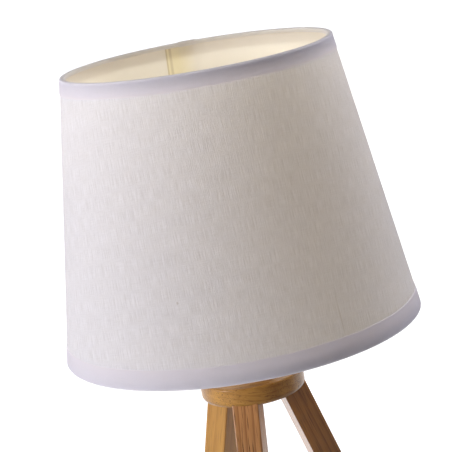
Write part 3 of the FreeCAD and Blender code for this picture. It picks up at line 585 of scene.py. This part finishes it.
# -------------------------------------------------------------------------------------------------
# Bulb: a nickel cap with a rolled thread, a black insulator round the tip, a white collar and a
# frosted dome.
# -------------------------------------------------------------------------------------------------
nickel = plated_metal("bright_nickel", paint(212, 212, 210), 0.25)
dress(nickel, "bulb_tip")
dress(moulded_plastic("bulb_insulator", paint(22, 22, 25), 0.15), "bulb_insulator")
dress(moulded_plastic("bulb_collar", paint(236, 236, 234), 0.3), "bulb_collar", "led_board")
dress(moulded_plastic("frosted_dome", paint(243, 243, 240), 0.35), "bulb_globe")

cap_radius, cap_rim_radius, cap_thread_depth = 0.0131, 0.01325, 0.0009
cap_foot, cap_top = (corner.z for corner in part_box("bulb_cap"))
thread_foot = cap_foot + 0.0026
climb = np.linspace(thread_foot, cap_top - 0.0012, 110)
thread = cap_radius - cap_thread_depth * thread_wave(climb, around, screw_lead, thread_foot,
                                                     cap_top - 0.003)
foot = np.array([(closed_radius, cap_foot), (cap_radius - 0.0019, cap_foot),
                 (cap_radius - 0.0013, cap_foot + 0.0004),
                 (cap_radius - 0.0002, cap_foot + 0.0022)])
rim = np.array([(cap_rim_radius, cap_top - 0.0008), (cap_rim_radius, cap_top),
                (closed_radius, cap_top)])
cap = add_piece("threaded_cap", turned(
    np.vstack([ringed(foot), thread, ringed(rim)]),
    np.concatenate([foot[:, 1], climb, rim[:, 1]]), around), nickel)
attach(cap, "bulb")
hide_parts("bulb_cap")

# -------------------------------------------------------------------------------------------------
# Shade frame: a plate, three bent wire arms and two wire rings, powder coated white, with a small
# weld bead wherever an arm meets the plate or the lower ring.
# -------------------------------------------------------------------------------------------------
powder_coat = moulded_plastic("powder_coat", paint(236, 235, 230), 0.5)
dress(powder_coat, "shade_fitter", "fitter_arms", "upper_rim_wire", "lower_rim_wire")

arm_facings = (30, 150, 270)
plate_radius, wire_radius, bead_inset = 0.0311, 0.0011, 0.0009
plate_middle, wire_middle = (sum(corner.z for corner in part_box(name)) / 2
                             for name in ("shade_fitter", "lower_rim_wire"))
wire_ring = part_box("lower_rim_wire")[1].x - wire_radius
slice_angles = np.linspace(0, math.pi, 13)[:, None]
ball = (np.cos(slice_angles) + 0 * around, np.sin(slice_angles) * np.cos(around),
        np.sin(slice_angles) * np.sin(around))
for number, facing in enumerate(arm_facings):
    outward = np.array((math.cos(math.radians(facing)), math.sin(math.radians(facing)), 0))
    sideways = np.array((-outward[1], outward[0], 0))
    # Each bead: where it sits, and half its size outward, sideways and up.
    for kind, reach, height, sizes in (
            ("plate", plate_radius, plate_middle, (0.0010, 0.0019, 0.00125)),
            ("ring", wire_ring - bead_inset, wire_middle, (0.0011, 0.0019, 0.00105))):
        points = outward * reach + np.array((0, 0, height)) + sum(
            (size * share)[..., None] * direction
            for size, share, direction in zip(sizes, ball, (outward, sideways, np.array(up))))
        bead = add_piece(f"weld_{kind}_{number}", points, powder_coat)
        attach(bead, "shade")

# -------------------------------------------------------------------------------------------------
# Shade liner: a thin cream film rolled into a cone.  Its end lies over its start, where the double
# film looks yellower and two fine darker lines are painted along its edge.
# -------------------------------------------------------------------------------------------------
shade_foot_radius, shade_head_radius = 0.1275, 0.095
shade_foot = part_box("bottom_hem_tape")[0].z
shade_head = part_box("top_hem_tape")[1].z
sheet_low, sheet_high = (corner.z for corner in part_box("shade_fabric"))
taper = (shade_foot_radius - shade_head_radius) / (shade_head - shade_foot)
cone_slope = math.atan(taper)
cloth_thickness = 0.0006
film_depth = 0.0007
film_thickness = 0.0003
film_edge, lap_start = math.radians(116.2), math.radians(102.8)
lap_turn = film_edge - lap_start
lap_ramp = 0.06
lap_line_place = 0.0034


def cone_radius(height):
    """The radius of the cloth's outer face at a height."""
    return shade_foot_radius - (height - shade_foot) * taper


def flat_cut(azimuth, height):
    """Where a point of the cone lies in the flat cut, in metres: a ring sector whose radius is the
    distance to the cone's tip along the wall and whose angle is the azimuth from the middle of the
    cut times the sine of the wall's slope."""
    reach = cone_radius(height) / math.sin(cone_slope)
    turn = (azimuth - film_edge - math.pi) * math.sin(cone_slope)
    return np.stack([reach * np.sin(turn), -reach * np.cos(turn)], axis=-1)


def thin_sheet(tree, colour, share):
    """Makes a closed thin sheet pass a share of the light, scattered and tinted once: a ray that
    is already inside the sheet leaves it whole."""
    inside = add_node(tree, "NewGeometry").outputs["Backfacing"]
    through = add_node(tree, "BsdfTranslucent", {"Color": blend_colours(
        tree, inside, colour, white)})
    mix = add_node(tree, "MixShader", {0: calculate(tree, "MAXIMUM", share, inside),
                                       1: tree.nodes["Principled BSDF"].outputs[0],
                                       2: through.outputs[0]})
    feed(tree, tree.nodes["Material Output"].inputs[0], mix.outputs[0])


film, tree, shader = new_material("liner_film", Roughness=0.4)
place = object_place(tree)
along_film = add_node(tree, "SeparateXYZ", {
    0: add_node(tree, "UVMap", uv_map="cut").outputs[0]}).outputs[0]
film_length = full_turn * shade_head_radius
lap_width = lap_turn * shade_head_radius
in_lap = spread(tree, along_film, film_length - lap_width, film_length - 0.4 * lap_width)
from_edge = calculate(tree, "SUBTRACT", film_length, along_film)
# Two fine darker lines painted along the film's end: one at its edge, one 3.4 mm in from it.
lap_line = calculate(tree, "ABSOLUTE", calculate(tree, "SUBTRACT", from_edge, lap_line_place))
lap_line = spread(tree, lap_line, 0.0005, 0.0014, 0.9, 0.0)
edge_line = spread(tree, from_edge, 0.0006, 0.0015, 1.0, 0.0)
marks = calculate(tree, "MAXIMUM", lap_line, edge_line)
slow = noise(tree, place, 40.0, 3.0)
cream = blend_colours(tree, slow, paint(252, 250, 243), paint(249, 246, 237))
cream = blend_colours(tree, in_lap, cream, paint(248, 243, 222))
feed(tree, shader["Base Color"], blend_colours(tree, marks, cream, paint(184, 174, 156)))
relief(tree, shader, noise(tree, place, 300.0, 2.0), 0.00005)
film_through = blend_colours(tree, in_lap, paint(250, 239, 212), paint(246, 231, 184))
thin_sheet(tree, film_through, 0.55)

turns = np.linspace(0, full_turn, 721)
climb = np.linspace(sheet_low, sheet_high, 24)
heights = np.concatenate([climb, climb[::-1]])
inner_face = np.repeat([0, 1], len(climb))
raised = film_thickness * smooth_step(turns, full_turn - lap_turn - lap_ramp,
                                      full_turn - lap_turn)
radii = (cone_radius(heights) - film_depth - film_thickness * inner_face)[:, None] - raised
cut = np.stack(np.broadcast_arrays(turns * shade_head_radius, heights[:, None]), axis=-1)
liner = add_piece("liner_cone", turned(radii, heights, film_edge + turns), film, wrap_rows=True,
                  wrap_columns=False, uv=cut, caps=True)
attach(liner, "shade")
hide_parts("shade_liner")

# -------------------------------------------------------------------------------------------------
# Shade cloth: plain-woven cotton bonded to the film.  One end of the sheet lies over the other at
# the back, and a few thick threads and one dark fleck show in the weave.
# -------------------------------------------------------------------------------------------------


def make_woven():
    """Plain weave on flat coordinates in metres.  Threads are the size of sine waves, warp over
    weft in a checker; slubs are noise drawn out along each set of threads."""
    group, given, out = new_group("plain_weave", {
        "Vector": (0.0, 0.0, 0.0), "Threads": 2000.0, "Warp Slub": 0.5, "Weft Slub": 0.3,
    }, {"Tone": "Float", "Height": "Float"})
    split = add_node(group, "SeparateXYZ", {0: given["Vector"]}).outputs
    turns = calculate(group, "MULTIPLY", given["Threads"], math.pi)
    warp = calculate(group, "SINE", calculate(group, "MULTIPLY", split[0], turns))
    weft = calculate(group, "SINE", calculate(group, "MULTIPLY", split[1], turns))
    over = calculate(group, "GREATER_THAN", calculate(group, "MULTIPLY", warp, weft), 0.0)
    warp_height = calculate(group, "ABSOLUTE", warp)
    weft_height = calculate(group, "ABSOLUTE", weft)
    height = add_node(group, "Mix", {0: over, 2: weft_height, 3: warp_height}).outputs[0]
    slubs = []
    for name, factors in (("Warp Slub", (1.0, 0.045, 1.0)), ("Weft Slub", (0.05, 1.0, 1.0))):
        thick = noise(group, stretched(group, given["Vector"], factors), 2000.0)
        slubs.append(calculate(group, "MULTIPLY", calculate(group, "SUBTRACT", thick, 0.5),
                               given[name]))
    slub = calculate(group, "ADD", *slubs)
    feed(group, out["Tone"], calculate(group, "ADD", slub, 0.5))
    feed(group, out["Height"], calculate(group, "MULTIPLY_ADD", slub, 1.5, height))
    return group


plain_weave = make_woven()


def near_point(tree, vector, point, half_length, half_width):
    """One on a short upright mark at a point of the flat cut, fading to zero at its edges."""
    offset = add_node(tree, "VectorMath", {0: vector, 1: (*point, 0)}, operation="SUBTRACT")
    turn = math.atan2(point[0], -point[1])
    offset = add_node(tree, "VectorRotate", {"Vector": offset.outputs[0], "Angle": -turn},
                      rotation_type="Z_AXIS")
    scaled = stretched(tree, offset.outputs[0], (1 / half_width, 1 / half_length, 0.0))
    distance = add_node(tree, "VectorMath", {0: scaled}, operation="LENGTH").outputs["Value"]
    return spread(tree, distance, 0.5, 1.0, 1.0, 0.0)


threads_per_metre = 2000.0
cloth_lap_rise, cloth_lap_turn = 0.00025, math.radians(12)
cotton, tree, shader = new_material("cotton", Roughness=0.9, Sheen_Weight=0.15,
                                    Sheen_Roughness=0.5)
cut_place = add_node(tree, "UVMap", uv_map="cut").outputs[0]
weave = use_group(tree, plain_weave, {"Vector": cut_place, "Threads": threads_per_metre,
                                      "Warp Slub": 2.6, "Weft Slub": 0.9})
tone = spread(tree, weave["Tone"], 0.0, 1.0)
colour = blend_colours(tree, tone, paint(208, 208, 218), paint(243, 244, 255))
slub_point, fleck_point = (flat_cut(math.radians(azimuth + 360), shade_foot + height).tolist()
                           for azimuth, height in ((-45.8, 0.028), (-96.25, 0.0564)))
slub = near_point(tree, cut_place, slub_point, half_length=0.016, half_width=0.0008)
fleck = near_point(tree, cut_place, fleck_point, half_length=0.0012, half_width=0.0010)
colour = blend_colours(tree, calculate(tree, "MULTIPLY", slub, 0.35), colour,
                       paint(150, 142, 140))
colour = blend_colours(tree, calculate(tree, "MULTIPLY", fleck, 0.5), colour,
                       paint(120, 108, 98))
feed(tree, shader["Base Color"], colour)
relief(tree, shader, weave["Height"], 0.00012, 0.7)
thin_sheet(tree, paint(250, 246, 247), 0.4)

raised = cloth_lap_rise * (1 - smooth_step(turns, 0, cloth_lap_turn))
radii = (cone_radius(heights) - cloth_thickness * inner_face)[:, None] + raised
azimuths = lap_start + turns
cut = np.stack([flat_cut(azimuths, height) for height in heights])
cloth = add_piece("shade_cloth", turned(radii, heights, azimuths), cotton, wrap_rows=True,
                  wrap_columns=False, uv=cut, caps=True)
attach(cloth, "shade")
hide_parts("shade_fabric")

# -------------------------------------------------------------------------------------------------
# Hems: a cotton tape at each rim, laid over the cloth, rolled round the rim wire and tucked under
# it.  Its end lies over its start at the back, and a folded edge under it stiffens the rim.
# -------------------------------------------------------------------------------------------------


def hem_cloth(name, single_share, doubled_share):
    """Tape cotton that lets less light through near the rim, where it is doubled, and is creamier
    on the side that is rolled in."""
    doubled_height, rolled_depth, fade = 0.0056, 0.0014, 0.0010
    material, tree, shader = new_material(name, Roughness=0.85, Sheen_Weight=0.1)
    cut_place = add_node(tree, "UVMap", uv_map="cut").outputs[0]
    weave = use_group(tree, plain_weave, {"Vector": cut_place, "Threads": 2600.0,
                                          "Warp Slub": 0.4, "Weft Slub": 0.5})
    from_rim = add_node(tree, "SeparateXYZ", {0: cut_place}).outputs[1]
    cotton_colour = blend_colours(tree, spread(tree, weave["Tone"], 0.0, 1.0),
                                  paint(234, 228, 233), paint(250, 244, 249))
    rolled_in = spread(tree, from_rim, -rolled_depth - fade, -rolled_depth, 1.0, 0.0)
    feed(tree, shader["Base Color"], blend_colours(tree, rolled_in, cotton_colour,
                                                   paint(250, 243, 226)))
    relief(tree, shader, weave["Height"], 0.0001, 0.6)
    thin_sheet(tree, paint(240, 236, 238), spread(
        tree, from_rim, doubled_height, doubled_height + fade, doubled_share, single_share))
    return material


def rounded_path(corners, steps):
    """Points of an open path through corners of (across, up, radius).  Each corner is an arc that
    touches both of its straight sides; its centre lies on the bisector of the corner's angle."""
    points = [np.array(corners[0][:2])]
    for before, corner, after in zip(corners, corners[1:], corners[2:]):
        middle, radius = np.array(corner[:2]), corner[2]
        back, ahead = (np.array(c[:2]) - middle for c in (before, after))
        back, ahead = back / np.linalg.norm(back), ahead / np.linalg.norm(ahead)
        half = math.acos(np.clip(back @ ahead, -1, 1)) / 2
        bisector = (back + ahead) / np.linalg.norm(back + ahead)
        centre = middle + bisector * radius / math.sin(half)
        start = middle + back * radius / math.tan(half) - centre
        end = middle + ahead * radius / math.tan(half) - centre
        sweep = math.atan2(start[0] * end[1] - start[1] * end[0], start @ end)
        for share in np.linspace(0, 1, steps + 1):
            angle = sweep * share
            points.append(centre + np.array((
                start[0] * math.cos(angle) - start[1] * math.sin(angle),
                start[0] * math.sin(angle) + start[1] * math.cos(angle))))
    points.append(np.array(corners[-1][:2]))
    return np.array(points)


def resampled(path, distances):
    """The points of a path at distances along it."""
    steps = np.concatenate([[0], np.cumsum(np.linalg.norm(np.diff(path, axis=0), axis=1))])
    return np.stack([np.interp(distances, steps, path[:, i]) for i in range(2)], axis=-1)


def hem_tape(name, material, rim, inwards, hem, wire_node, phase, snips=()):
    """The tape's middle line in section runs from the hem's edge over the rim, down the inner side
    of the wire and under it to the film; the tape is that line, thickened to both sides.  Along
    the rim the edge wanders a little, the end rides up over the start, and snips cut the inner
    side away round each arm."""
    half, bend, bend_steps = 0.000175, 0.0010, 6
    cloth_gap, wire_gap, tuck_depth, tuck_reach = 0.0001, 0.00015, 0.0032, 0.0012
    overlap, ramp, ride_up = math.radians(7), 0.03, 0.0004
    snip_half, snip_step = 0.01045, 0.00005
    wander_size, puff_size = 0.00012, 0.00005
    wire_low, wire_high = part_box(wire_node)
    inner = wire_high.x - (wire_high.z - wire_low.z) - wire_gap - half
    edge, under = rim + inwards * hem, rim + inwards * (tuck_depth - half)
    over = cloth_gap + half
    path = rounded_path([
        (cone_radius(edge) + over, edge, 0),
        (cone_radius(rim) + over, rim + inwards * half, bend),
        (inner, rim + inwards * half, bend),
        (inner, under, bend),
        (cone_radius(under) - tuck_reach, under, 0)], bend_steps)
    lengths = np.linalg.norm(np.diff(path, axis=0), axis=1)
    outer_leg, total = lengths[0], lengths.sum()
    to_rim_inside = lengths[:2 * (bend_steps + 1)].sum()
    snip_sides = [snip + side * (snip_half + step) for snip in snips for side in (-1, 1)
                  for step in (-snip_step, snip_step)]
    turns = np.sort(np.concatenate([np.linspace(0, full_turn + overlap, 735), snip_sides]))
    rides_up = ride_up * smooth_step(turns, full_turn - ramp, full_turn)
    wander = wander_size * (np.sin(7 * turns + phase) + 0.7 * np.sin(17 * turns + 2 * phase)
                            + 0.5 * np.sin(41 * turns + 3 * phase))
    puff = puff_size * (1 + np.sin(11 * turns + phase) * np.sin(5 * turns))
    columns, cuts = [], []
    for turn, lift, stray, swell in zip(turns, rides_up, wander, puff):
        cut_away = any(abs(turn - snip) < snip_half for snip in snips)
        reach = to_rim_inside if cut_away else total
        distances = np.concatenate([np.linspace(0, outer_leg, 10)[:-1],
                                    np.linspace(outer_leg, reach, 34)])
        line = resampled(path, distances)
        slope = np.gradient(line, axis=0)
        slope /= np.linalg.norm(slope, axis=1)[:, None]
        normal = np.stack([slope[:, 1], -slope[:, 0]], axis=-1) * inwards
        near_edge = 1 - smooth_step(distances, 0, outer_leg * 0.6)
        line[:, 1] += stray * near_edge * inwards
        bulge = swell * np.sin(np.clip(distances / outer_leg, 0, 1) * math.pi)
        line = line - normal * (lift + bulge)[:, None]
        columns.append(np.concatenate([line - normal * half, (line + normal * half)[::-1]]))
        along = np.full(len(distances), turn * cone_radius(rim))
        flat = np.stack([along, outer_leg - distances], axis=-1)
        cuts.append(np.concatenate([flat, flat[::-1]]))
    section = np.stack(columns, axis=1)
    tape = add_piece(name.replace("_tape", "_strip"),
                     turned(section[..., 0], section[..., 1], lap_start + turns), material,
                     wrap_rows=True, wrap_columns=False, uv=np.stack(cuts, axis=1), caps=True)
    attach(tape, "shade")
    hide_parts(name)
    return tape


arm_turns = [(math.radians(facing) - lap_start) % full_turn for facing in arm_facings]
top_cotton = hem_cloth("top_hem_cotton", single_share=0.52, doubled_share=0.42)
top_hem = hem_tape("top_hem_tape", top_cotton, rim=shade_head, inwards=-1, hem=0.0105,
                   wire_node="upper_rim_wire", phase=0.7)
bottom_cotton = hem_cloth("bottom_hem_cotton", single_share=0.48, doubled_share=0.38)
bottom_hem = hem_tape("bottom_hem_tape", bottom_cotton, rim=shade_foot, inwards=1, hem=0.0138,
                      wire_node="lower_rim_wire", phase=2.1, snips=arm_turns)
